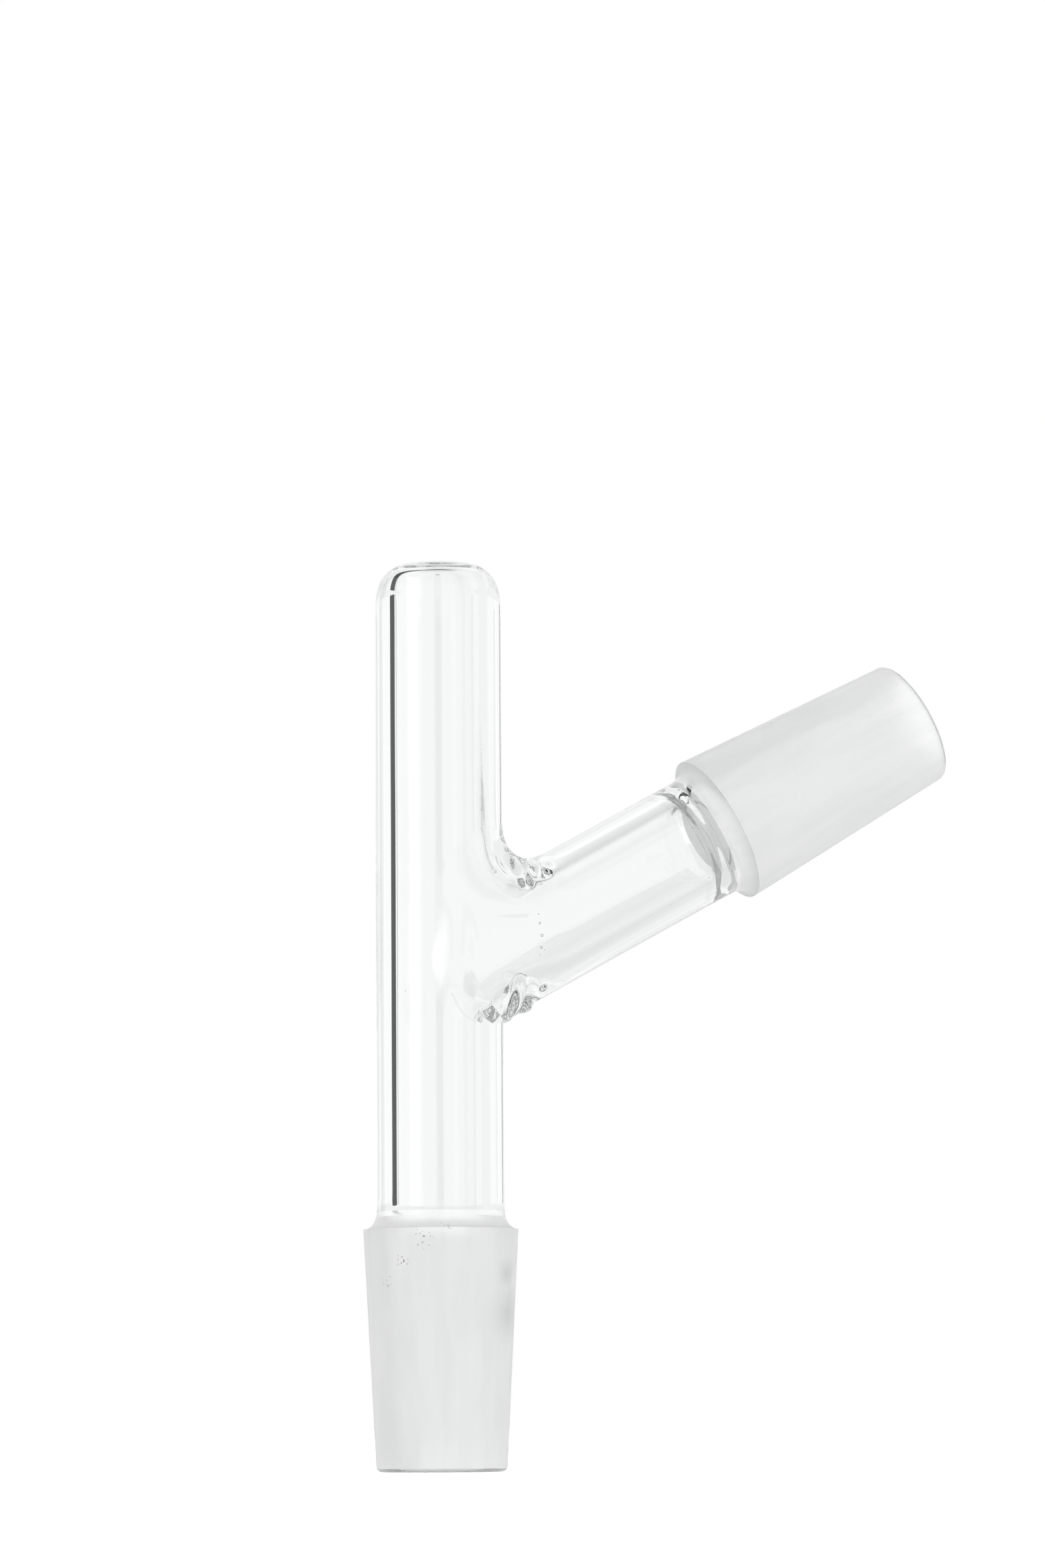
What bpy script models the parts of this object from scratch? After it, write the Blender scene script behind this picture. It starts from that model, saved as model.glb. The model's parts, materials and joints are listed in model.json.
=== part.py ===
# Angled glass adapter: a closed-top tube with a side arm, each ending in a ground 14/23 cone.
# Metres, +Z up. The origin is the centre of the lower cone's rim, and the side arm leans along +X.
import math

import bmesh
import bpy
from mathutils import Matrix, Vector

# Ground cones: 14.5 mm at the large end, taper 1 in 10 on diameter
CONE_LARGE_RADIUS = 0.00725
CONE_LENGTH = 0.0225
CONE_TAPER = 0.05
CONE_BORE_RADIUS = 0.0047
CONE_RIM_ROUND = 0.0005
SHOULDER_LENGTH = 0.0015
SHOULDER_NECK_RADIUS = 0.0061

# Drawn tube for the body and the side arm
TUBE_RADIUS = 0.00596
TUBE_BORE_RADIUS = 0.0040
BODY_TOP = 0.08534
TOP_WALL = 0.0013

# The melted-shut top, outside and inside: height of the dome, flatness of its middle, tightness of its edge
TOP_DOME = (0.00575, 4.0, 3.2)
BORE_DOME = (0.0019, 10.0, 2.0)
DOME_STEPS = 8

# Side arm: its axis starts on the body's axis and rises outwards
ARM_HEIGHT = 0.0456
ARM_RISE = math.radians(28.72)
ARM_CONE_START = 0.03125
ARM_WELD_END = 0.0155
ARM_OPENING_RADIUS = 0.0036

# The weld spreads further up the body than down it
WELD_FOOT_RADIUS = 0.00605
WELD_SPREAD_UP = 0.0039
WELD_SPREAD_DOWN = 0.0016
WELD_RUN_UP = 0.0040
WELD_RUN_DOWN = 0.0030

# Ring seals, where the tube is melted on to a cone
SEAL_LENGTH = 0.0016
SEAL_BEAD = 0.0003

GAP = 0.0003
SEGMENTS = 48


def clear_scene():
    for item in list(bpy.data.objects):
        bpy.data.objects.remove(item, do_unlink=True)


def make_material(name, color, roughness, transmission):
    material = bpy.data.materials.new(name)
    material.use_nodes = True
    shader = material.node_tree.nodes["Principled BSDF"]
    shader.inputs["Base Color"].default_value = (*color, 1.0)
    shader.inputs["Roughness"].default_value = roughness
    shader.inputs["Metallic"].default_value = 0.0
    shader.inputs["IOR"].default_value = 1.473
    shader.inputs["Transmission Weight"].default_value = transmission
    return material


def add_object(name, bm, matrix, material):
    bmesh.ops.recalc_face_normals(bm, faces=bm.faces)
    mesh = bpy.data.meshes.new(name)
    bm.to_mesh(mesh)
    bm.free()
    mesh.shade_smooth()
    mesh.set_sharp_from_angle(angle=math.radians(35))
    piece = bpy.data.objects.new(name, mesh)
    piece.matrix_world = matrix
    bpy.context.collection.objects.link(piece)
    if material:
        mesh.materials.append(material)
    return piece


def arc(center, radius, start, end, steps):
    """Points (radius, height) along an arc, angles in degrees from the +radius direction."""
    points = []
    for step in range(steps + 1):
        angle = math.radians(start + (end - start) * step / steps)
        points.append((center[0] + radius * math.cos(angle), center[1] + radius * math.sin(angle)))
    return points


def turned(name, outline, matrix, material, closed=True):
    """Spin an outline of (radius, height) points round the local Z axis."""
    bm = bmesh.new()
    verts = [bm.verts.new((radius, 0.0, height)) for radius, height in outline]
    edges = [bm.edges.new(pair) for pair in zip(verts, verts[1:])]
    if closed:
        edges.append(bm.edges.new((verts[-1], verts[0])))
    bmesh.ops.spin(bm, geom=verts + edges, cent=(0, 0, 0), axis=(0, 0, 1), dvec=(0, 0, 0),
                   angle=math.tau, steps=SEGMENTS, use_merge=True)
    bmesh.ops.remove_doubles(bm, verts=bm.verts, dist=1e-7)
    return add_object(name, bm, matrix, material)


def arm_matrix():
    """Local +Z runs out along the side arm, local +X points to its upper side."""
    turn = Matrix.Rotation(math.pi / 2 - ARM_RISE, 4, "Y")
    flip = Matrix.Rotation(math.pi, 4, "Z")
    return Matrix.Translation((0, 0, ARM_HEIGHT)) @ turn @ flip


def cone_outline(tip, large, neck):
    """Section of a ground cone: tip, large end and neck are heights along its axis."""
    side = 1 if large > tip else -1
    tip_radius = CONE_LARGE_RADIUS - CONE_TAPER * CONE_LENGTH
    rim_radius = tip_radius - CONE_RIM_ROUND
    outline = []
    for radius, height in arc((rim_radius, CONE_RIM_ROUND), CONE_RIM_ROUND, -90, 0, 3):
        outline.append((radius, tip + side * height))
    outline.append((CONE_LARGE_RADIUS, large))
    drop = CONE_LARGE_RADIUS - SHOULDER_NECK_RADIUS
    for step in range(1, 5):
        part = step / 4
        outline.append((CONE_LARGE_RADIUS - drop * math.sin(part * math.pi / 2),
                        large + (neck - large) * (1 - math.cos(part * math.pi / 2))))
    outline.append((TUBE_BORE_RADIUS, neck))
    outline.append((CONE_BORE_RADIUS, large - side * 0.0010))
    outline.append((CONE_BORE_RADIUS, tip + side * 0.0002))
    outline.append((CONE_BORE_RADIUS + 0.0002, tip))
    return outline


def seal_outline(cone_end, tube_end):
    """Section of a ring seal: a short collar with a rounded bead inside."""
    middle = (cone_end + tube_end) / 2
    return [
        (SHOULDER_NECK_RADIUS, cone_end),
        ((SHOULDER_NECK_RADIUS + TUBE_RADIUS) / 2 - 0.00004, middle),
        (TUBE_RADIUS, tube_end),
        (TUBE_BORE_RADIUS, tube_end),
        (TUBE_BORE_RADIUS - SEAL_BEAD, middle),
        (TUBE_BORE_RADIUS, cone_end),
    ]


def tube_outline(start, end):
    return [(TUBE_RADIUS, start), (TUBE_RADIUS, end), (TUBE_BORE_RADIUS, end), (TUBE_BORE_RADIUS, start)]


def dome(radius, top, shape):
    """Section of a melted-shut end: flat in the middle, rolling over to the tube's wall."""
    drop, flatness, tightness = shape
    points = []
    for step in range(DOME_STEPS + 1):
        angle = math.pi / 2 * (step / DOME_STEPS) ** 2
        fall = drop * (1 - max(0.0, math.cos(angle)) ** (2 / tightness))
        points.append((radius * math.sin(angle) ** (2 / flatness), top - fall))
    return points


def build_main_tube(start, material):
    outline = dome(TUBE_RADIUS, BODY_TOP, TOP_DOME)
    outline += [(TUBE_RADIUS, start), (TUBE_BORE_RADIUS, start)]
    outline += reversed(dome(TUBE_BORE_RADIUS, BODY_TOP - TOP_WALL, BORE_DOME))
    tube = turned("main_tube", outline, Matrix.Identity(4), material, closed=False)

    bm = bmesh.new()
    bmesh.ops.create_cone(bm, cap_ends=True, segments=SEGMENTS, radius1=ARM_OPENING_RADIUS,
                          radius2=ARM_OPENING_RADIUS, depth=0.012,
                          matrix=Matrix.Translation((0, 0, 0.006)))
    cutter = add_object("side_opening_cutter", bm, arm_matrix(), None)
    cutter.hide_render = True
    cutter.display_type = "WIRE"
    opening = tube.modifiers.new("side_opening", "BOOLEAN")
    opening.operation = "DIFFERENCE"
    opening.solver = "EXACT"
    opening.object = cutter
    return tube


def on_body(ring_radius, angle, skin):
    """Where a line parallel to the arm, off its axis by ring_radius at angle, meets the body's skin."""
    across = ring_radius * math.sin(angle)
    rise = ring_radius * math.cos(angle)
    along = (math.sqrt(skin * skin - across * across) + rise * math.sin(ARM_RISE)) / math.cos(ARM_RISE)
    return arm_point(ring_radius, angle, along)


def arm_point(ring_radius, angle, along):
    outward = Vector((math.cos(ARM_RISE), 0, math.sin(ARM_RISE)))
    upward = Vector((-math.sin(ARM_RISE), 0, math.cos(ARM_RISE)))
    sideways = Vector((0, 1, 0))
    around = upward * math.cos(angle) + sideways * math.sin(angle)
    return Vector((0, 0, ARM_HEIGHT)) + outward * along + around * ring_radius


def weld_line(angle):
    """One closed section of the weld, at an angle round the arm's axis."""
    outward = Vector((math.cos(ARM_RISE), 0, math.sin(ARM_RISE)))
    skin = TUBE_RADIUS + GAP
    up = max(0.0, math.cos(angle)) ** 2.5
    down = max(0.0, -math.cos(angle)) ** 2.5
    foot_radius = WELD_FOOT_RADIUS + WELD_SPREAD_UP * up + WELD_SPREAD_DOWN * down
    foot = on_body(foot_radius, angle, skin)
    corner = on_body(TUBE_RADIUS, angle, skin)
    blend = (1 + math.cos(angle)) / 2
    run = WELD_RUN_DOWN + (WELD_RUN_UP - WELD_RUN_DOWN) * blend
    landing = corner + outward * run
    handle = (corner - foot) * 0.6
    points = []
    for step in range(7):
        t = step / 6
        first = foot.lerp(foot + handle, t)
        second = (foot + handle).lerp(landing - outward * run * 0.6, t)
        third = (landing - outward * run * 0.6).lerp(landing, t)
        points.append(first.lerp(second, t).lerp(second.lerp(third, t), t))
    points.append(arm_point(TUBE_RADIUS, angle, ARM_WELD_END))
    points.append(arm_point(TUBE_BORE_RADIUS, angle, ARM_WELD_END))
    points.append(on_body(ARM_OPENING_RADIUS + 0.0001, angle, skin) + outward * 0.0015)
    for step in range(4):
        part = step / 4
        radius = ARM_OPENING_RADIUS + (foot_radius - ARM_OPENING_RADIUS) * part
        points.append(on_body(radius, angle, skin))
    return points


def build_weld(material):
    bm = bmesh.new()
    lines = []
    for step in range(SEGMENTS):
        line = weld_line(math.tau * step / SEGMENTS)
        lines.append([bm.verts.new(point) for point in line])
    count = len(lines[0])
    for step in range(SEGMENTS):
        here = lines[step]
        following = lines[(step + 1) % SEGMENTS]
        for index in range(count):
            after = (index + 1) % count
            bm.faces.new((here[index], here[after], following[after], following[index]))
    return add_object("side_arm_weld", bm, Matrix.Identity(4), material)


def build_adapter():
    clear_glass = make_material("clear_glass", (0.93, 0.95, 0.95), 0.03, 0.9)
    ground_glass = make_material("ground_glass", (0.78, 0.79, 0.79), 0.55, 0.3)
    upright = Matrix.Identity(4)
    arm = arm_matrix()

    neck = CONE_LENGTH + SHOULDER_LENGTH
    turned("lower_cone", cone_outline(0.0, CONE_LENGTH, neck), upright, ground_glass)
    seal_top = neck + GAP + SEAL_LENGTH
    turned("lower_ring_seal", seal_outline(neck + GAP, seal_top), upright, clear_glass)
    build_main_tube(seal_top + GAP, clear_glass)

    arm_neck = ARM_CONE_START - SHOULDER_LENGTH
    arm_tip = ARM_CONE_START + CONE_LENGTH
    seal_start = arm_neck - GAP - SEAL_LENGTH
    build_weld(clear_glass)
    turned("side_arm_tube", tube_outline(ARM_WELD_END + GAP, seal_start - GAP), arm, clear_glass)
    turned("side_ring_seal", seal_outline(arm_neck - GAP, seal_start), arm, clear_glass)
    turned("side_cone", cone_outline(arm_tip, ARM_CONE_START, arm_neck), arm, ground_glass)


clear_scene()
build_adapter()
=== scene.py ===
import json
import math

import bmesh
import bpy
from mathutils import Matrix, Vector, noise


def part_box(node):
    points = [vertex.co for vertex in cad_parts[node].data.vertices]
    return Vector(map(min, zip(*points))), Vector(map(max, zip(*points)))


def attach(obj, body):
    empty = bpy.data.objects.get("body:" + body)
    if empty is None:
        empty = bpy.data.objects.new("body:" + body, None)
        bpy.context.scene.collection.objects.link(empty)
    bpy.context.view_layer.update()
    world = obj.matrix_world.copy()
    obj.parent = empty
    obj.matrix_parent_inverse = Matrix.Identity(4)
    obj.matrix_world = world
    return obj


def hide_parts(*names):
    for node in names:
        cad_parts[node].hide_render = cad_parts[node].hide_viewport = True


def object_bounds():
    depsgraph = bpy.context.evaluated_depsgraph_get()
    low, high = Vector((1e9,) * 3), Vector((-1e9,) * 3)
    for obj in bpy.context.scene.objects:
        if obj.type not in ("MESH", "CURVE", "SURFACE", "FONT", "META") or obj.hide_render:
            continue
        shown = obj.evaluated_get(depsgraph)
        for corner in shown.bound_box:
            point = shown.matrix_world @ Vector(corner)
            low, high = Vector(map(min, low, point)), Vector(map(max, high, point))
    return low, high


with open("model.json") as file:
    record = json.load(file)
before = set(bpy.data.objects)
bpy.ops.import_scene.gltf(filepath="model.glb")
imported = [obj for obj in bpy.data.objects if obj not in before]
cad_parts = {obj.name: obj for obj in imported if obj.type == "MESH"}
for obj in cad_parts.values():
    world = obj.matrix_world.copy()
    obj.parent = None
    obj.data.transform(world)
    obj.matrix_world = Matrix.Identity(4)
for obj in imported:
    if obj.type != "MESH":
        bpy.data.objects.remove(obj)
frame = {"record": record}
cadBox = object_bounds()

mm = 0.001
ringSteps = 144  # facets round every tube, fine enough that no flat shows in the glass
mergeDistance = 0.002 * mm
close, veryClose = 0.01 * mm, 0.001 * mm  # nearer than this counts as the same place

mounts = {mount["name"]: mount for mount in frame["record"]["mounts"]}
armAxis = Vector(mounts["side_taper"]["axis"]).normalized()
armTip = Vector(mounts["side_taper"]["pos_m"])
armLength = armTip.x / armAxis.x
armRoot = armTip - armAxis * armLength  # where the arm's axis leaves the upright one
armUp = Vector((-armAxis.z, 0, armAxis.x))
sideways = Vector((0, 1, 0))
uprightPlace = Matrix.Identity(4)
armPlace = Matrix.Translation(armRoot) @ Matrix((armUp, -sideways, armAxis)).transposed().to_4x4()

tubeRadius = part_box("main_tube")[1].x
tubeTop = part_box("main_tube")[1].z
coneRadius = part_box("lower_cone")[1].x
boreRadius = 4.0 * mm
joinGap = (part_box("lower_ring_seal")[0].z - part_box("lower_cone")[1].z) / 2
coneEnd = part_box("lower_cone")[1].z + joinGap  # from a cone's rim to its join, on both runs
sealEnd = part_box("lower_ring_seal")[1].z + joinGap

clearFace, joinFace, groundFace = 0, 1, 2  # the places of the finishes on every piece
colourA, colourB = 6, 7  # a Mix node's sockets when it mixes colours


def linear(code):
    # sRGB hex to the linear colour that the shaders take
    channels = [int(code[i:i + 2], 16) / 255 for i in (1, 3, 5)]
    return [c / 12.92 if c <= 0.04045 else ((c + 0.055) / 1.055) ** 2.4 for c in channels] + [1.0]


def addNode(tree, kind, inputs=None, **settings):
    # inputs takes a number, a node or one of a node's outputs for each socket
    node = tree.nodes.new(kind)
    for name, value in settings.items():
        setattr(node, name, value)
    for name, value in (inputs or {}).items():
        if isinstance(value, bpy.types.Node):
            value = next(output for output in value.outputs if output.enabled)
        if isinstance(value, bpy.types.NodeSocket):
            tree.links.new(value, node.inputs[name])
        else:
            node.inputs[name].default_value = value
    return node


def newMaterial(name):
    material = bpy.data.materials.new(name)
    material.use_nodes = True
    tree = material.node_tree
    coords = addNode(tree, "ShaderNodeTexCoord").outputs["Object"]
    return material, tree, tree.nodes["Principled BSDF"], coords


clearGlass = {
    "colour": "#FDFEFE", "speckColour": "#4A4A48", "ior": 1.473,
    # how wide and how long each pattern is: lines from the drawing of the tube, scratches drawn
    # wider than real ones so that they show, and the patches that handling leaves them in
    "patterns": {"draw": (0.9 * mm, 40 * mm), "scratch": (0.14 * mm, 5 * mm), "patch": (8 * mm, 8 * mm)},
    "drawDepth": 0.004 * mm,
    "scratched": (0.70, 0.76), "handled": (0.50, 0.60), "scratchRoughness": 0.22,
    "speckCell": 3.2 * mm, "speckRadius": 0.055 * mm, "speckShare": (0.72, 0.74),
}


def clearBorosilicate(name, place):
    # drawn, fire-polished borosilicate: colourless and mirror smooth, edges bend what is behind them
    material, tree, shader, coords = newMaterial(name)
    turn = tuple(place.to_3x3().inverted().to_euler())  # Z then runs along the tube
    coords = addNode(tree, "ShaderNodeVectorRotate", {"Vector": coords, "Rotation": turn},
                     rotation_type="EULER_XYZ")
    pattern = {}
    for kind, (across, along) in clearGlass["patterns"].items():
        scaled = addNode(tree, "ShaderNodeVectorMath",
                         {0: coords, 1: (1 / across, 1 / across, 1 / along)}, operation="MULTIPLY")
        pattern[kind] = addNode(tree, "ShaderNodeTexNoise",
                                {"Vector": scaled, "Scale": 1.0, "Detail": 2.0})
    bump = addNode(tree, "ShaderNodeBump", {"Height": pattern["draw"], "Distance": clearGlass["drawDepth"],
                                            "Strength": 1.0})

    low, high = clearGlass["scratched"]
    scratch = addNode(tree, "ShaderNodeMapRange", {"Value": pattern["scratch"],
                                                   "From Min": low, "From Max": high})
    low, high = clearGlass["handled"]
    patch = addNode(tree, "ShaderNodeMapRange", {"Value": pattern["patch"],
                                                 "From Min": low, "From Max": high})
    scuffed = addNode(tree, "ShaderNodeMath", {0: scratch, 1: patch}, operation="MULTIPLY")
    roughness = addNode(tree, "ShaderNodeMapRange",
                        {"Value": scuffed, "To Max": clearGlass["scratchRoughness"]})

    # a few specks, one in some of the cells
    size = 1 / clearGlass["speckCell"]
    scaled = addNode(tree, "ShaderNodeVectorMath", {0: coords, 1: (size, size, size)}, operation="MULTIPLY")
    cell = addNode(tree, "ShaderNodeTexVoronoi", {"Vector": scaled, "Scale": 1.0})
    reach = clearGlass["speckRadius"] * size
    dot = addNode(tree, "ShaderNodeMapRange", {"Value": cell.outputs["Distance"],
                                               "From Min": reach, "From Max": reach * 0.6})
    low, high = clearGlass["speckShare"]
    drawn = addNode(tree, "ShaderNodeSeparateColor", {"Color": cell.outputs["Color"]})
    chosen = addNode(tree, "ShaderNodeMapRange", {"Value": drawn, "From Min": low, "From Max": high})
    speck = addNode(tree, "ShaderNodeMath", {0: dot, 1: chosen}, operation="MULTIPLY")
    colour = addNode(tree, "ShaderNodeMix", {0: speck, colourA: linear(clearGlass["colour"]),
                                             colourB: linear(clearGlass["speckColour"])}, data_type="RGBA")

    tree.links.new(colour.outputs[2], shader.inputs["Base Color"])
    tree.links.new(roughness.outputs[0], shader.inputs["Roughness"])
    tree.links.new(bump.outputs[0], shader.inputs["Normal"])
    shader.inputs["IOR"].default_value = clearGlass["ior"]
    shader.inputs["Transmission Weight"].default_value = 1.0
    return material


groundGlass = {
    "light": "#FFFFFF", "dull": "#F8F9F9", "pit": "#55524F", "smudge": "#E2E3E3",
    "ior": 1.473, "transmission": 0.5,
    "roughness": (0.50, 0.56), "shoulderRoughness": 0.16,
    # how wide, how long and how detailed; the grit was 0.03 mm, drawn coarser so that it shows
    "patterns": {"grain": (0.17 * mm, 0.17 * mm, 3.0), "mottle": (1.5 * mm, 8 * mm, 2.0)},
    "grainDepth": 0.011 * mm, "dullPart": (0.35, 0.7), "roughPart": (0.3, 0.7),
    "pitCell": 0.33 * mm, "pitRadius": 0.062 * mm, "pitEdge": 1.6,
}


def groundBorosilicate(name, place, tip, side, pits, smudges):
    # the same glass ground with fine abrasive: matte, light passes but every edge behind it blurs
    material, tree, shader, spot = newMaterial(name)
    turn = tuple(place.to_3x3().inverted().to_euler())
    coords = addNode(tree, "ShaderNodeVectorRotate", {"Vector": spot, "Rotation": turn},
                     rotation_type="EULER_XYZ")
    pattern = {}
    for kind, (across, along, detail) in groundGlass["patterns"].items():
        scaled = addNode(tree, "ShaderNodeVectorMath",
                         {0: coords, 1: (1 / across, 1 / across, 1 / along)}, operation="MULTIPLY")
        pattern[kind] = addNode(tree, "ShaderNodeTexNoise",
                                {"Vector": scaled, "Scale": 1.0, "Detail": detail})
    bump = addNode(tree, "ShaderNodeBump", {"Height": pattern["grain"],
                                            "Distance": groundGlass["grainDepth"]})

    # the shoulder was ground only lightly, and less and less towards the neck
    axis = place.to_3x3() @ Vector((0, 0, 1))
    depth = addNode(tree, "ShaderNodeVectorMath", {0: spot, 1: tuple(axis)}, operation="DOT_PRODUCT")
    start = place.translation.dot(axis) + tip
    shoulder = addNode(tree, "ShaderNodeMapRange", {"Value": depth, "From Min": start + side * cone["length"],
                                                    "From Max": start + side * coneEnd})
    low, high = groundGlass["roughPart"]
    smooth, rough = groundGlass["roughness"]
    rough = addNode(tree, "ShaderNodeMapRange",
                    {"Value": pattern["mottle"], "From Min": low, "From Max": high,
                     "To Min": smooth, "To Max": rough})
    rough = addNode(tree, "ShaderNodeMix", {0: shoulder, 2: rough, 3: groundGlass["shoulderRoughness"]})

    size = 1 / groundGlass["pitCell"]
    scaled = addNode(tree, "ShaderNodeVectorMath", {0: coords, 1: (size, size, size)}, operation="MULTIPLY")
    cell = addNode(tree, "ShaderNodeTexVoronoi", {"Vector": scaled, "Scale": 1.0})
    reach = groundGlass["pitRadius"] * size
    dots = addNode(tree, "ShaderNodeMapRange",
                   {"Value": cell.outputs["Distance"],
                    "From Min": reach * groundGlass["pitEdge"], "From Max": reach})
    low, high = groundGlass["dullPart"]
    dull = addNode(tree, "ShaderNodeMapRange", {"Value": pattern["mottle"],
                                                "From Min": low, "From Max": high})
    colour = addNode(tree, "ShaderNodeMix", {0: dull, colourA: linear(groundGlass["light"]),
                                             colourB: linear(groundGlass["dull"])}, data_type="RGBA")
    for mark, centres, texture in (("smudge", smudges, 1.0), ("pit", pits, dots)):
        # strongest in the middle of each round place
        found = 0.0
        for centre, radius in centres:
            away = addNode(tree, "ShaderNodeVectorMath", {0: spot, 1: centre}, operation="DISTANCE")
            there = addNode(tree, "ShaderNodeMapRange", {"Value": away, "From Min": radius, "From Max": 0.0})
            found = addNode(tree, "ShaderNodeMath", {0: found, 1: there}, operation="MAXIMUM")
        found = addNode(tree, "ShaderNodeMath", {0: found, 1: texture}, operation="MULTIPLY")
        colour = addNode(tree, "ShaderNodeMix", {0: found, colourA: colour,
                                                 colourB: linear(groundGlass[mark])}, data_type="RGBA")

    tree.links.new(colour.outputs[2], shader.inputs["Base Color"])
    tree.links.new(rough.outputs[0], shader.inputs["Roughness"])
    tree.links.new(bump.outputs[0], shader.inputs["Normal"])
    shader.inputs["IOR"].default_value = groundGlass["ior"]
    shader.inputs["Transmission Weight"].default_value = groundGlass["transmission"]
    return material


def fusedJoin():
    # melted through: two pieces of one glass meet here, so nothing shows and nothing bends
    material = bpy.data.materials.new("fused_join")
    material.use_nodes = True
    tree = material.node_tree
    tree.nodes.clear()
    clear = addNode(tree, "ShaderNodeBsdfTransparent")
    addNode(tree, "ShaderNodeOutputMaterial", {"Surface": clear})
    return material


cone = {
    "length": 22.5 * mm, "taper": 0.05, "rimRound": 0.5 * mm, "rimSteps": 8,
    "neck": tubeRadius + 0.04 * mm, "shoulderSteps": 12,
    "boreTip": 4.6 * mm, "boreLarge": 5.0 * mm, "boreStart": 0.8 * mm, "boreSteps": 12,
    "groundMargin": 0.05 * mm, "shoulderDepth": 1.3 * mm,  # how far in a face still counts as outside
    "lip": ((0, 0.3 * mm), (0.1 * mm, 0.09 * mm), (0.3 * mm, 0)),  # the bore's rounded edge, out and up
}
# marks of use on the ground cones: a trail of pits and two greasy smudges low down, one pit on the arm
lowerPits = [(Vector((-6.0, -3.5, 17.6)) * mm, 0.9 * mm), (Vector((-4.9, -5.0, 19.4)) * mm, 1.0 * mm),
             (Vector((-3.4, -6.2, 21.4)) * mm, 1.3 * mm), (Vector((-1.4, -6.9, 22.9)) * mm, 1.1 * mm)]
lowerSmudges = [(Vector((4.9, -4.9, 18.3)) * mm, 1.8 * mm), (Vector((5.2, -4.5, 14.6)) * mm, 3.2 * mm)]
sidePits = [(armRoot + armAxis * 38.4 * mm - sideways * 6.7 * mm + armUp * 1.6 * mm, 0.2 * mm)]

join = fusedJoin()
uprightSlots = [clearBorosilicate("drawn_borosilicate_upright", uprightPlace), join,
                groundBorosilicate("ground_borosilicate_lower", uprightPlace, 0.0, 1,
                                   lowerPits, lowerSmudges)]
armSlots = [clearBorosilicate("drawn_borosilicate_arm", armPlace), join,
            groundBorosilicate("ground_borosilicate_side", armPlace, armLength, -1, sidePits, [])]


def finishPiece(name, bm, slots, pickFace=None, bubbles=()):
    bmesh.ops.recalc_face_normals(bm, faces=bm.faces)
    for centre, radius in bubbles:
        # a hollow in the glass, so its faces look inwards
        place = Matrix.Translation(centre)
        verts = bmesh.ops.create_icosphere(bm, subdivisions=2, radius=radius, matrix=place)["verts"]
        bmesh.ops.reverse_faces(bm, faces=list({face for vert in verts for face in vert.link_faces}))
    if pickFace:
        for face in bm.faces:
            face.material_index = pickFace(face)
    mesh = bpy.data.meshes.new(name)
    bm.to_mesh(mesh)
    bm.free()
    for material in slots:
        mesh.materials.append(material)
    mesh.shade_smooth()
    mesh.set_sharp_from_angle(angle=math.radians(40))
    piece = bpy.data.objects.new(name, mesh)
    bpy.context.collection.objects.link(piece)
    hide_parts(name)
    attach(piece, "root")
    return piece


def smoothStep(part):
    return part * part * (3 - 2 * part)


def arc(centre, radius, start, end, steps):
    # (radius, height) points, angles in degrees from straight out
    points = []
    for step in range(steps + 1):
        angle = math.radians(start + (end - start) * step / steps)
        points.append((centre[0] + radius * math.cos(angle), centre[1] + radius * math.sin(angle)))
    return points


def ease(start, end, steps):
    # an S-curve from one (radius, height) point to another, level with the axis at both ends
    points = []
    for part in [step / steps for step in range(1, steps + 1)]:
        points.append((start[0] + (end[0] - start[0]) * smoothStep(part),
                       start[1] + (end[1] - start[1]) * part))
    return points


def spinOutline(outline, closed=True):
    bm = bmesh.new()
    verts = [bm.verts.new((radius, 0, height)) for radius, height in outline]
    edges = [bm.edges.new(pair) for pair in zip(verts, verts[1:])]
    if closed:
        edges.append(bm.edges.new((verts[-1], verts[0])))
    bmesh.ops.spin(bm, geom=verts + edges, cent=(0, 0, 0), axis=(0, 0, 1), dvec=(0, 0, 0),
                   angle=math.tau, steps=ringSteps, use_merge=True)
    bmesh.ops.remove_doubles(bm, verts=bm.verts, dist=mergeDistance)
    return bm


def ringEdges(bm, ring):
    return [bm.edges.get(pair) for pair in zip(ring, ring[1:] + ring[:1])]


def growRing(bm, ring, places):
    # extrudes a closed ring of vertices and sets the new ring down on its places
    grown = bmesh.ops.extrude_edge_only(bm, edges=ringEdges(bm, ring))["geom"]
    fresh = {item for item in grown if isinstance(item, bmesh.types.BMVert)}
    following = []
    for vert in ring:
        following.append(next(e.other_vert(vert) for e in vert.link_edges if e.other_vert(vert) in fresh))
    for vert, place in zip(following, places):
        vert.co = place
    return following


def markJoin(rings):
    # the faces between two rings of vertices are where this piece is melted to the next
    touched = set(rings[0]) | set(rings[1])
    for face in {face for vert in rings[0] for face in vert.link_faces}:
        if all(vert in touched for vert in face.verts):
            face.material_index = joinFace


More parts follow.
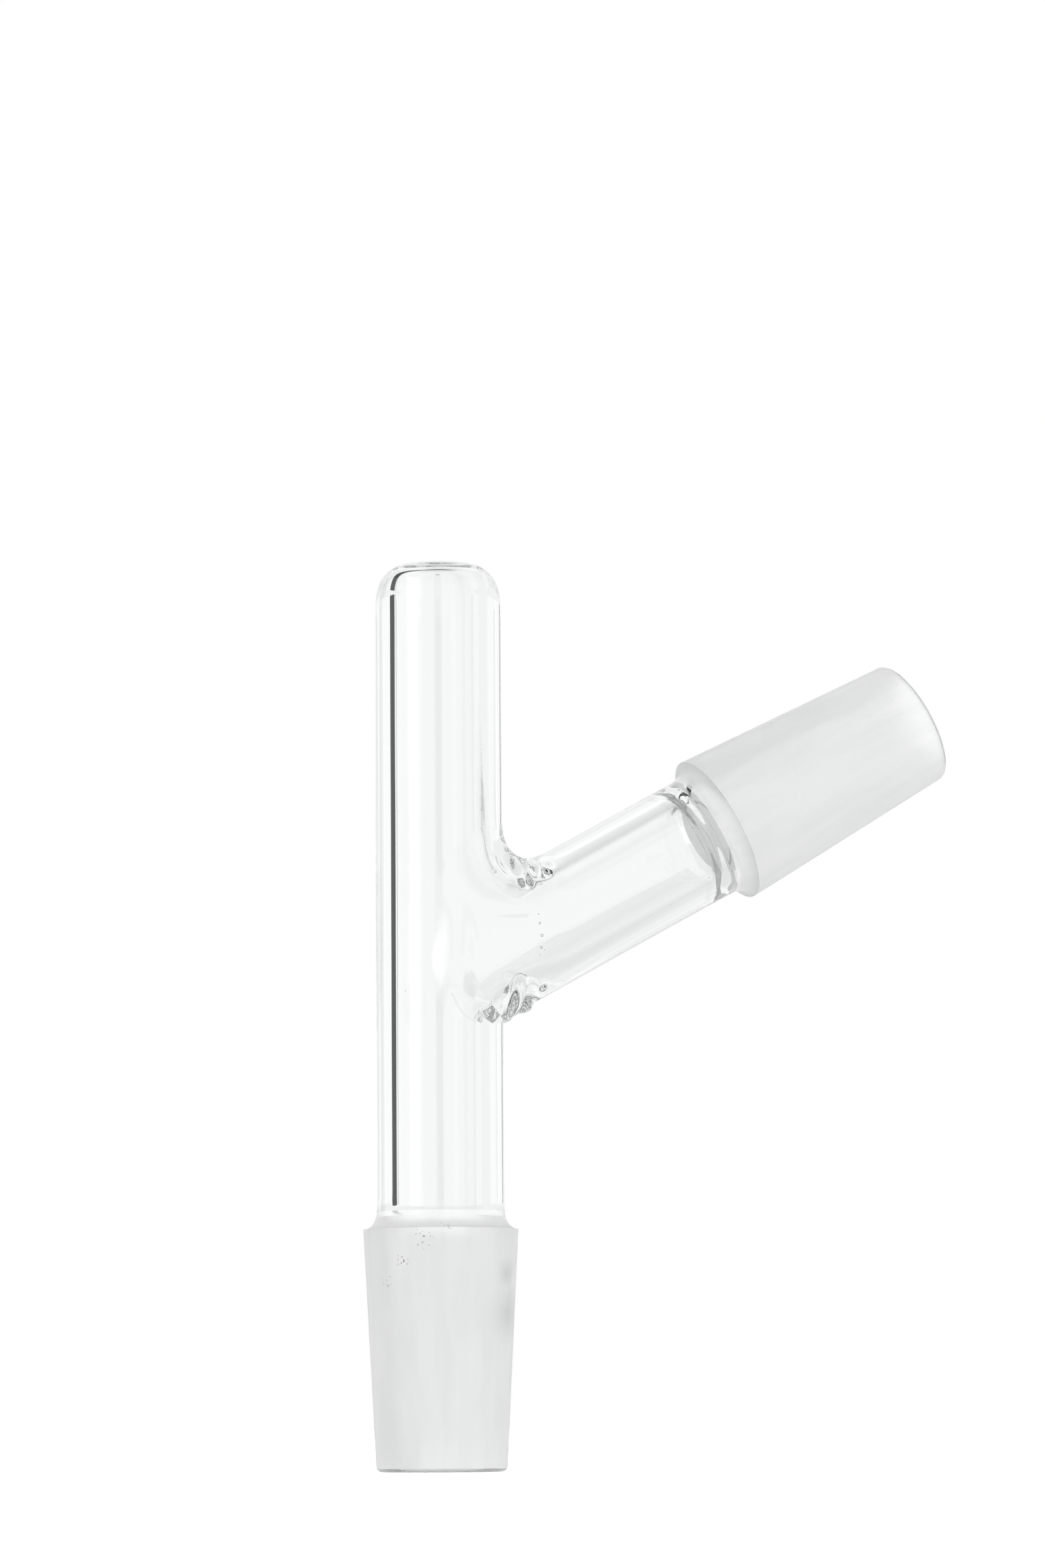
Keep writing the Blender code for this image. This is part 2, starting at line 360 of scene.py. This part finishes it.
weld = {
    "reach": 15.65 * mm,  # where the plain arm tube begins, along the arm
    # feet lie on the upright tube, landings on the arm: highest, lowest, and how far round the tube.
    # fill is how far the glass that ran into the lower crotch moves the corner there, out and up.
    # lumps were left by the flame: across, up, half width, half height, how far out, towards which side
    "outer": {"skin": tubeRadius, "footTop": 61.0 * mm, "footBottom": 41.8 * mm, "footTurn": 96.0,
              "landTop": 15.4 * mm, "landBottom": 8.0 * mm, "handle": 0.6,
              "fill": Vector((0, 0, 0)), "bead": 0.15 * mm,
              "lumps": [(6.5, 56.4, 0.75, 1.3, 0.5, -1), (8.3, 56.2, 0.7, 1.4, 0.5, -1),
                        (10.0, 56.8, 1.0, 0.75, 0.35, -1), (9.5, 44.9, 1.0, 0.65, 0.4, -1),
                        (7.9, 43.5, 1.3, 0.9, 0.5, -1), (6.4, 44.0, 0.8, 2.3, 0.6, -1)]},
    "inner": {"skin": boreRadius, "footTop": 61.4 * mm, "footBottom": 41.4 * mm, "footTurn": 94.0,
              "landTop": 15.4 * mm, "landBottom": 12.0 * mm, "handle": 0.68,
              "fill": Vector((2.8, 0, 4.0)) * mm, "bead": 0.0,
              "lumps": [(7.5, 54.6, 1.0, 0.9, -0.6, -1), (9.6, 55.4, 0.9, 0.7, -0.5, -1),
                        (8.0, 46.0, 1.5, 0.6, -0.5, -1), (6.7, 45.8, 0.7, 0.8, -0.5, -1),
                        (8.0, 55.4, 1.0, 1.0, -0.5, 1), (7.5, 46.0, 0.8, 1.0, -0.5, 1)]},
    # the uneven glass: how deep, how wide, a shift that picks the pattern, and how much of it is
    # left away from the two crotches
    "ripple": 0.22 * mm, "rippleSize": 1.15 * mm, "rippleShift": Vector((3.1, 0.4, 7.7)), "rippleRest": 0.02,
    "steps": 48,
    # a string of small bubbles shut in the wall: across, up, radius
    "bubbles": [(8.2, 51.7, 0.09), (8.3, 50.9, 0.13), (8.5, 49.8, 0.16), (8.45, 48.7, 0.14),
                (8.3, 48.0, 0.07)],
}
# the wall was blown thin beside the seal, on the side towards -Y
hollow = {"across": 0.5 * mm, "up": 48.0 * mm, "width": 2.3 * mm, "height": 6.2 * mm, "depth": 0.5 * mm}
windowHalf = math.radians(105)  # the part of the tube's wall that is remade round the seal
windowLow, windowHigh, windowRows = 38.4 * mm, 62.4 * mm, 60
windowSteps = 10
ringCount = 2 * (round(2 * windowHalf / math.tau * ringSteps) + windowRows)
ringAngles = [math.tau * step / ringCount for step in range(ringCount)]


def outFromArm(angle):
    return armUp * math.cos(angle) + sideways * math.sin(angle)


def armPoint(radius, angle, along):
    return armRoot + armAxis * along + outFromArm(angle) * radius


def crossing(angle, skin):
    # where the bare arm and the bare tube, of one radius, would cut each other
    level = skin * (math.cos(angle) * armAxis.z + abs(math.cos(angle))) / armAxis.x
    return armPoint(skin, angle, level)


def footPoint(angle, skirt):
    turn = math.radians(skirt["footTurn"]) * math.sin(angle)
    middle = (skirt["footTop"] + skirt["footBottom"]) / 2
    height = middle + (skirt["footTop"] - middle) * math.cos(angle)
    return Vector((skirt["skin"] * math.cos(turn), skirt["skin"] * math.sin(turn), height))


def flatten(vector, normal):
    return vector - normal * vector.dot(normal)


def filletPoint(angle, part, side):
    # part runs from 0 on the upright tube to 1 on the arm
    skirt = weld[side]
    foot = footPoint(angle, skirt)
    level = (1 + math.cos(angle)) / 2
    landing = armPoint(skirt["skin"], angle,
                       skirt["landBottom"] + (skirt["landTop"] - skirt["landBottom"]) * level)
    below = max(0.0, -math.cos(angle))  # 1 in the lower crotch, 0 from half way up
    aim = ((foot + landing) / 2).lerp(crossing(angle, skirt["skin"]), abs(math.cos(angle)))
    aim += skirt["fill"] * below ** 4
    first = foot + flatten(aim - foot, Vector((foot.x, foot.y, 0)).normalized()) * skirt["handle"]
    second = landing + flatten(aim - landing, outFromArm(angle)) * skirt["handle"]
    a, b, c = foot.lerp(first, part), first.lerp(second, part), second.lerp(landing, part)
    place = a.lerp(b, part).lerp(b.lerp(c, part), part)
    swell = math.sin(math.pi * part ** 0.8) ** 2
    place.z -= skirt["bead"] * below ** 8 * swell
    waves = noise.noise(place / weld["rippleSize"] + weld["rippleShift"])
    push = weld["ripple"] * waves * (weld["rippleRest"] + abs(math.cos(angle)) ** 24) * swell
    for across, up, halfWidth, halfHeight, height, beside in skirt["lumps"]:
        away = math.hypot((place.x / mm - across) / halfWidth, (place.z / mm - up) / halfHeight)
        if place.y * beside > 0 and away < 1:
            push += height * mm * (1 - away * away) ** 2 * (1 - (2 * part - 1) ** 8)
    return place + outFromArm(angle) * push


def hollowed(place):
    away = math.hypot((place.x - hollow["across"]) / hollow["width"],
                      (place.z - hollow["up"]) / hollow["height"])
    if place.y > 0 or away > 1:
        return place
    return place + Vector((place.x, place.y, 0)).normalized() * hollow["depth"] * (1 - away * away) ** 2


def weldRing(side, part):
    places = [filletPoint(angle, part, side) for angle in ringAngles]
    return [hollowed(place) for place in places] if side == "inner" else places


def buildWeld():
    bm = bmesh.new()
    start = bmesh.ops.create_circle(bm, cap_ends=False, segments=ringCount, radius=tubeRadius)["verts"]
    for vert, angle in zip(start, ringAngles):
        vert.co = armPoint(tubeRadius, angle, weld["reach"])
    ring = start
    for step in range(weld["steps"], -1, -1):
        ring = growRing(bm, ring, weldRing("outer", step / weld["steps"]))
    feet = [ring]
    for step in range(weld["steps"] + 1):
        ring = growRing(bm, ring, weldRing("inner", step / weld["steps"]))
        if step == 0:
            feet.append(ring)
    ring = growRing(bm, ring, [armPoint(boreRadius, angle, weld["reach"]) for angle in ringAngles])
    bmesh.ops.bridge_loops(bm, edges=ringEdges(bm, ring) + ringEdges(bm, start))
    markJoin(feet)
    markJoin((start, ring))
    middle = (tubeRadius + boreRadius) / 2
    bubbles = [(Vector((across * mm, -middle, up * mm)), size * mm) for across, up, size in weld["bubbles"]]
    return finishPiece("side_arm_weld", bm, armSlots, bubbles=bubbles)


upright = {
    "topWall": 1.3 * mm,
    # outside and inside of the melted top: height, flatness of the middle, tightness of the edge
    "dome": (5.75 * mm, 4.0, 3.2), "boreDome": (1.9 * mm, 10.0, 2.0),
    "flatShare": 0.24, "flatSteps": 14, "steps": 48,
    "nibDepth": 0.16 * mm, "nibRadius": 0.35 * mm,  # where the last thread of glass was pulled off
}


def dome(radius, top, shape, nib=0.0):
    # flat in the middle, rolling over to the tube's wall
    drop, flatness, tightness = shape
    middle = upright["flatShare"] * radius
    outs = [middle * step / upright["flatSteps"] for step in range(upright["flatSteps"])]
    for step in range(1, upright["steps"] + 1):
        out = radius * math.sin(math.pi / 2 * smoothStep(step / upright["steps"])) ** (2 / flatness)
        if out > middle:
            outs.append(out)
    points = []
    for out in outs:
        fall = drop * (1 - max(0.0, 1 - (out / radius) ** flatness) ** (1 / tightness))
        fall += nib * math.exp(-(out / upright["nibRadius"]) ** 2)
        points.append((out, top - fall))
    return points


def windowRing(bm, radius):
    # the edge of the window in one skin, in order from its top middle towards +Y
    edges = {edge for edge in bm.edges if edge.is_boundary
             and all(abs(vert.co.xy.length - radius) < close for vert in edge.verts)}
    verts = {vert for edge in edges for vert in edge.verts}
    start = next(v for v in verts if abs(v.co.y) < veryClose and v.co.z > windowHigh - veryClose)
    ring = [start]
    while True:
        beside = [edge.other_vert(ring[-1]) for edge in ring[-1].link_edges if edge in edges]
        following = max((vert for vert in beside if vert not in ring[-2:]), key=lambda vert: vert.co.y)
        if following == start:
            return ring
        ring.append(following)


def buildUpright():
    rows = [windowHigh - (windowHigh - windowLow) * row / windowRows for row in range(windowRows + 1)]
    outline = dome(tubeRadius, tubeTop, upright["dome"])
    outline += [(tubeRadius, height) for height in rows] + [(tubeRadius, sealEnd)]
    outline += [(boreRadius, sealEnd)] + [(boreRadius, height) for height in reversed(rows)]
    ceiling = dome(boreRadius, tubeTop - upright["topWall"], upright["boreDome"], upright["nibDepth"])
    outline += reversed(ceiling)
    bm = spinOutline(outline, closed=False)
    window = []
    for face in bm.faces:
        middle = face.calc_center_median()
        if windowLow < middle.z < windowHigh and abs(math.atan2(middle.y, middle.x)) < windowHalf:
            window.append(face)
        if all(vert.co.z < sealEnd + veryClose for vert in face.verts):
            face.material_index = joinFace
    bmesh.ops.delete(bm, geom=window, context="FACES")
    # both skins grow from the window's edge to the feet of the seal
    feet = []
    for side in ("outer", "inner"):
        radius = weld[side]["skin"]
        ring = windowRing(bm, radius)
        starts = [(math.atan2(vert.co.y, vert.co.x), vert.co.z) for vert in ring]
        ends = [footPoint(angle, weld[side]) for angle in ringAngles]
        for part in [step / windowSteps for step in range(1, windowSteps + 1)]:
            places = []
            for (turn, height), end in zip(starts, ends):
                there = turn + (math.atan2(end.y, end.x) - turn) * part
                places.append(Vector((radius * math.cos(there), radius * math.sin(there),
                                      height + (end.z - height) * part)))
            ring = growRing(bm, ring, places)
        feet.append(ring)
    for vert in bm.verts:
        if abs(vert.co.xy.length - boreRadius) < close:
            vert.co = hollowed(vert.co)
    bmesh.ops.bridge_loops(bm, edges=ringEdges(bm, feet[0]) + ringEdges(bm, feet[1]))
    markJoin(feet)
    return finishPiece("main_tube", bm, uprightSlots)


def buildArmTube():
    start, end = weld["reach"], armLength - sealEnd
    bm = spinOutline([(tubeRadius, start), (tubeRadius, end), (boreRadius, end), (boreRadius, start)])
    bm.transform(armPlace)

    def pick(face):
        along = (face.calc_center_median() - armRoot).dot(armAxis)
        return joinFace if min(abs(along - start), abs(along - end)) < close else clearFace

    return finishPiece("side_arm_tube", bm, armSlots, pick)


seal = {
    # a bead that stands into the bore, and how uneven the melted glass is
    "lower_ring_seal": (0.0, 0.004 * mm), "side_ring_seal": (0.3 * mm, 0.15 * mm),
    "waveSize": 1.3 * mm, "restShare": 0.2, "boreShare": 2, "steps": 24,
}


def buildSeal(name, tip, side, place, slots):
    # tip is the rim's height along the run, side is 1 where the cone points down it
    near, far = tip + side * coneEnd, tip + side * sealEnd
    bead, wave = seal[name]
    parts = [step / seal["steps"] for step in range(seal["steps"] + 1)]
    outline = [(tubeRadius + (cone["neck"] - tubeRadius) * (1 - part) ** 3, near + (far - near) * part)
               for part in parts]
    outline += [(boreRadius - bead * math.sin(math.pi * part) ** 2, near + (far - near) * part)
                for part in reversed(parts)]
    bm = spinOutline(outline)
    for vert in bm.verts:
        # uneven between the two ends, most where the rod touched, above and below
        radius = vert.co.xy.length
        part = (vert.co.z - near) / (far - near)
        push = wave * noise.noise(vert.co / seal["waveSize"]) * math.sin(math.pi * part) ** 2
        push *= seal["restShare"] + (1 - seal["restShare"]) * abs(vert.co.x / radius) ** 6
        if radius < (tubeRadius + boreRadius) / 2:
            push *= seal["boreShare"]
        vert.co.xy *= 1 + push / radius
    bm.transform(place)
    axis = place.to_3x3() @ Vector((0, 0, 1))

    def pick(face):
        along = [(vert.co - place.translation).dot(axis) for vert in face.verts]
        return joinFace if max(along) - min(along) < veryClose else clearFace

    return finishPiece(name, bm, slots, pick)


def buildCone(name, tip, side, place, slots):
    large, roundness, bore = cone["length"], cone["rimRound"], cone["boreTip"]
    tipRadius = coneRadius - cone["taper"] * large
    outline = arc((tipRadius - roundness, roundness), roundness, -90, 0, cone["rimSteps"])
    outline += [(tipRadius + (coneRadius - tipRadius) * part, roundness + (large - roundness) * part)
                for part in (0.25, 0.5, 0.75, 1.0)]
    for turn in [step / cone["shoulderSteps"] * math.pi / 2 for step in range(1, cone["shoulderSteps"] + 1)]:
        outline.append((coneRadius - (coneRadius - cone["neck"]) * math.sin(turn),
                        large + (coneEnd - large) * (1 - math.cos(turn))))
    outline += [(boreRadius, coneEnd)]
    outline += ease((boreRadius, coneEnd), (cone["boreLarge"], large - cone["boreStart"]), cone["boreSteps"])
    outline += [(bore + out, height) for out, height in cone["lip"]]
    bm = spinOutline([(radius, tip + side * height) for radius, height in outline])
    bm.transform(place)
    axis = place.to_3x3() @ Vector((0, 0, 1))

    def pick(face):
        # ground on the taper and on the shoulder, clear on the rim and in the bore
        along = [((vert.co - place.translation).dot(axis) - tip) * side for vert in face.verts]
        height = sum(along) / len(along)
        radius = flatten(face.calc_center_median() - place.translation, axis).length
        if min(along) > coneEnd - veryClose:
            return joinFace
        onTaper = radius > tipRadius - cone["groundMargin"] and height > roundness / 2
        onShoulder = radius > boreRadius + cone["shoulderDepth"] and height > large
        return groundFace if onTaper or onShoulder else clearFace

    return finishPiece(name, bm, slots, pick)


print("upright tube and seals")
buildUpright()
buildWeld()
buildArmTube()
buildSeal("lower_ring_seal", 0, 1, uprightPlace, uprightSlots)
buildSeal("side_ring_seal", armLength, -1, armPlace, armSlots)
print("ground cones")
buildCone("lower_cone", 0, 1, uprightPlace, uprightSlots)
buildCone("side_cone", armLength, -1, armPlace, armSlots)

view = {
    "distance": 552.6 * mm, "aside": 7.9 * mm, "height": 4.0 * mm,
    "turn": 15.31, "lookUp": 6.23, "roll": 0.37, "lens": 135.47, "sensor": 36, "clip": (0.01, 20),
}
forward = 90 - view["turn"]  # azimuth that the camera looks along, from +X

room = {
    # brightness of the white walls, and where it goes over to the next, in degrees from the way the
    # camera looks, from level, and up
    "behind": 0.98, "beside": (85, 110, 0.8), "above": (25, 65, 0.75), "ceiling": (60, 72, 0.08),
    "onMatte": 1.1,  # what ground glass gathers from all round
    # panels round the glass, azimuths from the way the camera looks, left is positive:
    # from, to, lowest, highest elevation, brightness, softness in degrees
    "panels": [
        (7, 14, -40, 40, 1.1, 5),
        (-70, -36, -60, 60, 0.9, 12),
        (97, 142, -60, 60, 1.2, 4),
        (172, 188, -60, 60, 0.08, 3),
        (-136, -111, -60, 60, 0.1, 4),
        (44, 62, -75, 65, 0.03, 2),
    ],
    "panelEnd": 3,  # how soft the panels' upper and lower ends are
}


def buildWorld():
    world = bpy.data.worlds.new("white_studio")
    bpy.context.scene.world = world
    world.use_nodes = True
    tree = world.node_tree
    tree.nodes.clear()
    direction = addNode(tree, "ShaderNodeTexCoord").outputs["Generated"]
    turned = addNode(tree, "ShaderNodeVectorRotate", {"Vector": direction, "Angle": math.radians(-forward)},
                     rotation_type="Z_AXIS")
    parts = addNode(tree, "ShaderNodeSeparateXYZ", {"Vector": turned}).outputs
    turn = addNode(tree, "ShaderNodeMath", {0: parts["Y"], 1: parts["X"]}, operation="ARCTAN2")
    rise = addNode(tree, "ShaderNodeMath", {0: parts["Z"]}, operation="ARCSINE")
    away = addNode(tree, "ShaderNodeMath", {0: turn}, operation="ABSOLUTE")
    slope = addNode(tree, "ShaderNodeMath", {0: rise}, operation="ABSOLUTE")

    light = room["behind"]
    for measured, wall in ((away, "beside"), (slope, "above"), (rise, "ceiling")):
        start, end, brightness = room[wall]
        share = addNode(tree, "ShaderNodeMapRange", {"Value": measured, "From Min": math.radians(start),
                                                     "From Max": math.radians(end)},
                        interpolation_type="SMOOTHSTEP")
        light = addNode(tree, "ShaderNodeMix", {"Factor": share, "A": light, "B": brightness})

    for start, end, low, high, brightness, soft in room["panels"]:
        middle, half = math.radians(start + end) / 2, (end - start) / 2
        # distance from the panel's middle, wrapped so that one behind the camera stays whole
        offset = addNode(tree, "ShaderNodeMath", {0: turn, 1: middle}, operation="SUBTRACT")
        offset = addNode(tree, "ShaderNodeMath", {0: offset, 1: math.pi, 2: -math.pi}, operation="WRAP")
        offset = addNode(tree, "ShaderNodeMath", {0: offset}, operation="ABSOLUTE")
        inside = 1.0
        for measured, edge, softness, before, after in ((offset, half, soft / 2, 1.0, 0.0),
                                                        (rise, low, room["panelEnd"], 0.0, 1.0),
                                                        (rise, high, room["panelEnd"], 1.0, 0.0)):
            share = addNode(tree, "ShaderNodeMapRange",
                            {"Value": measured, "From Min": math.radians(edge - softness),
                             "From Max": math.radians(edge + softness), "To Min": before, "To Max": after},
                            interpolation_type="SMOOTHSTEP")
            inside = addNode(tree, "ShaderNodeMath", {0: inside, 1: share}, operation="MULTIPLY")
        light = addNode(tree, "ShaderNodeMix", {"Factor": inside, "A": light, "B": brightness})

    path = addNode(tree, "ShaderNodeLightPath").outputs
    light = addNode(tree, "ShaderNodeMix", {"Factor": path["Is Diffuse Ray"], "A": light,
                                            "B": room["onMatte"]})
    light = addNode(tree, "ShaderNodeMix", {"Factor": path["Is Camera Ray"], "A": light, "B": 1.0})
    glow = addNode(tree, "ShaderNodeBackground", {"Color": linear("#FFFFFF"), "Strength": light})
    addNode(tree, "ShaderNodeOutputWorld", {"Surface": glow})


paper = {
    "size": 20.0, "drop": 0.05 * mm, "colour": "#F2F2F2", "glow": 0.5, "onMatte": 1.25,
    # the floor's glow, as the glass sees it, is dimmer close by: a painted soft shadow round the object, as
    # under a lamp that stands further back
    "paintedShadowReach": (80 * mm, 180 * mm), "paintedShadowGlow": (0.78, 0.9),
}


def buildFloor():
    bm = bmesh.new()
    bmesh.ops.create_grid(bm, x_segments=1, y_segments=1, size=paper["size"])
    bmesh.ops.translate(bm, verts=bm.verts, vec=(0, 0, cadBox[0][2] - paper["drop"]))
    mesh = bpy.data.meshes.new("paper_floor")
    bm.to_mesh(mesh)
    bm.free()
    # matte white paper without gloss that glows: evenly white to the camera, a brighter painted glow to the
    # ground glass, and to the clear glass a painted shadow, dimmer close by
    material, tree, shader, spot = newMaterial("white_paper_painted_shadow")
    # painted shadow: the glow that the glass sees falls off towards the object, darker close by
    away = addNode(tree, "ShaderNodeVectorMath", {0: spot}, operation="LENGTH")
    (start, end), (near, far) = paper["paintedShadowReach"], paper["paintedShadowGlow"]
    light = addNode(tree, "ShaderNodeMapRange", {"Value": away, "From Min": start, "From Max": end,
                                                 "To Min": near, "To Max": far})
    path = addNode(tree, "ShaderNodeLightPath").outputs
    light = addNode(tree, "ShaderNodeMix", {"Factor": path["Is Diffuse Ray"], "A": light,
                                            "B": paper["onMatte"]})
    light = addNode(tree, "ShaderNodeMix", {"Factor": path["Is Camera Ray"], "A": light,
                                            "B": paper["glow"]})
    colour = addNode(tree, "ShaderNodeMix", {0: path["Is Camera Ray"], colourA: linear("#000000"),
                                             colourB: linear(paper["colour"])}, data_type="RGBA")
    tree.links.new(colour.outputs[2], shader.inputs["Base Color"])
    tree.links.new(light.outputs[0], shader.inputs["Emission Strength"])
    shader.inputs["Emission Color"].default_value = linear("#FFFFFF")
    shader.inputs["Roughness"].default_value = 1.0
    shader.inputs["Specular IOR Level"].default_value = 0.0
    mesh.materials.append(material)
    floor = bpy.data.objects.new("paper_floor", mesh)
    bpy.context.collection.objects.link(floor)


def buildCamera():
    camera = bpy.data.cameras.new("camera")
    camera.lens = view["lens"]
    camera.sensor_width = view["sensor"]
    camera.clip_start, camera.clip_end = view["clip"]
    holder = bpy.data.objects.new("camera", camera)
    bpy.context.collection.objects.link(holder)
    spin = Matrix.Rotation(math.radians(-view["turn"]), 4, "Z")
    stand = Matrix.Translation((view["aside"], -view["distance"], view["height"]))
    tilt = Matrix.Rotation(math.radians(view["lookUp"]), 4, "X")
    roll = Matrix.Rotation(math.radians(view["roll"]), 4, "Y")
    holder.matrix_world = spin @ stand @ tilt @ roll @ Matrix.Rotation(math.radians(90), 4, "X")
    bpy.context.scene.camera = holder


def allowBounces():
    # light crosses up to sixteen walls of glass before it comes out
    cycles = bpy.context.scene.cycles
    cycles.max_bounces = cycles.transmission_bounces = cycles.transparent_max_bounces = 64
    cycles.glossy_bounces = 32
    cycles.diffuse_bounces = 4
    cycles.caustics_reflective = cycles.caustics_refractive = True


print("room")
buildWorld()
buildFloor()
buildCamera()
allowBounces()
bpy.context.scene.view_settings.view_transform = "Standard"
